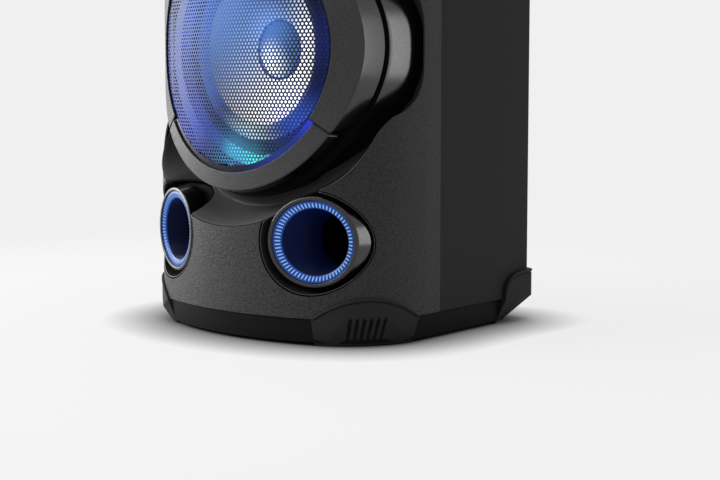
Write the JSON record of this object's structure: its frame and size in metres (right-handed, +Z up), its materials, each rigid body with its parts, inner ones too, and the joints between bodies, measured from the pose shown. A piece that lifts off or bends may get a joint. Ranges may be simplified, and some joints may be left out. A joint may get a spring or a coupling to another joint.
{
  "type": "party speaker",
  "caption": "Tall free-standing party loudspeaker with a curved front, a lit woofer behind a round grille, lit bass ports, horn tweeters and a top control panel.",
  "frame": {"origin": "on the floor, under the middle of the speaker's bounding box", "axes": "+X to the right of someone facing the speaker, front towards -Y, +Z up"},
  "size_m": [0.34, 0.296, 0.612],
  "materials": {
    "textured_abs": "fine grain",
    "matt_abs": "matt",
    "gloss_abs": "high gloss",
    "satin_abs": "satin",
    "vinyl_wrap": "black vinyl wrap on fibreboard",
    "fibreboard": "raw board",
    "rubber": "moulded",
    "perforated_steel": "black powder coat",
    "pressed_steel": "black paint",
    "pulp_paper": "coated pulp",
    "rubber_roll": "butyl",
    "zinc_steel": "zinc plated",
    "copper_wire": "enamelled wire",
    "light_guide": "clear light guide, lit blue",
    "circuit_board": "solder mask",
    "aluminium": "as extruded"
  },
  "bodies": {
    "cabinet": {"plinth": "matt_abs", "front_foot_left": "rubber", "front_foot_right": "rubber", "rear_foot_left": "rubber", "rear_foot_right": "rubber", "front_shell": "textured_abs", "display_window": "gloss_abs", "woofer_bowl": "gloss_abs", "upper_ring": "satin_abs", "chin_ring": "satin_abs", "woofer_grille": "perforated_steel", "woofer_drum": "matt_abs", "woofer_frame": "pressed_steel", "woofer_screw_1": "zinc_steel", "woofer_screw_2": "zinc_steel", "woofer_screw_3": "zinc_steel", "woofer_screw_4": "zinc_steel", "woofer_light_ring": "light_guide", "surround": "rubber_roll", "spider": "rubber_roll", "top_plate": "zinc_steel", "magnet": "zinc_steel", "pole_piece": "zinc_steel", "port_rim_left": "satin_abs", "port_rim_right": "satin_abs", "port_light_left": "light_guide", "port_light_right": "light_guide", "port_tube_left": "matt_abs", "port_tube_right": "matt_abs", "tweeter_horn_left": "satin_abs", "tweeter_horn_right": "satin_abs", "tweeter_driver_left": "zinc_steel", "tweeter_driver_right": "zinc_steel", "side_panel_left": "vinyl_wrap", "side_panel_right": "vinyl_wrap", "bottom_board": "fibreboard", "baffle_board": "fibreboard", "back_panel": "vinyl_wrap", "handle_cup": "matt_abs", "mains_inlet": "matt_abs", "terminal_plate": "matt_abs", "top_cap": "satin_abs", "control_panel": "gloss_abs", "mic_jack": "zinc_steel", "guitar_jack": "zinc_steel", "control_board": "circuit_board", "amp_board": "circuit_board", "heat_sink": "aluminium", "power_supply": "zinc_steel"},
    "cone_assembly": {"cone": "pulp_paper", "dust_cap": "pulp_paper", "voice_coil": "copper_wire"},
    "volume_knob": {"volume_knob": "satin_abs"},
    "mic_knob": {"mic_knob": "satin_abs"},
    "power_button": {"power_button": "matt_abs"},
    "source_button": {"source_button": "matt_abs"},
    "play_button": {"play_button": "matt_abs"},
    "bass_button": {"bass_button": "matt_abs"},
    "light_button": {"light_button": "matt_abs"},
    "echo_button": {"echo_button": "matt_abs"}
  },
  "joints": [
    {"name": "cone_excursion", "type": "slide", "parent": "cabinet", "child": "cone_assembly", "axis": [0, -1, 0], "range_m": [-0.005, 0.005], "stiffness_N_per_m": 2000, "deforming": ["surround", "spider"]},
    {"name": "volume_turn", "type": "hinge", "parent": "cabinet", "child": "volume_knob", "pos_m": [0, -0.03, 0.6], "axis": [0, 0, 1], "continuous": true},
    {"name": "mic_level_turn", "type": "hinge", "parent": "cabinet", "child": "mic_knob", "pos_m": [-0.062, 0.062, 0.6], "axis": [0, 0, 1], "range_deg": [-150, 150]},
    {"name": "power_press", "type": "slide", "parent": "cabinet", "child": "power_button", "axis": [0, 0, -1], "range_m": [0, 0.0008], "stiffness_N_per_m": 800},
    {"name": "source_press", "type": "slide", "parent": "cabinet", "child": "source_button", "axis": [0, 0, -1], "range_m": [0, 0.0008], "stiffness_N_per_m": 800},
    {"name": "play_press", "type": "slide", "parent": "cabinet", "child": "play_button", "axis": [0, 0, -1], "range_m": [0, 0.0008], "stiffness_N_per_m": 800},
    {"name": "bass_press", "type": "slide", "parent": "cabinet", "child": "bass_button", "axis": [0, 0, -1], "range_m": [0, 0.0008], "stiffness_N_per_m": 800},
    {"name": "light_press", "type": "slide", "parent": "cabinet", "child": "light_button", "axis": [0, 0, -1], "range_m": [0, 0.0008], "stiffness_N_per_m": 800},
    {"name": "echo_press", "type": "slide", "parent": "cabinet", "child": "echo_button", "axis": [0, 0, -1], "range_m": [0, 0.0008], "stiffness_N_per_m": 800}
  ]
}
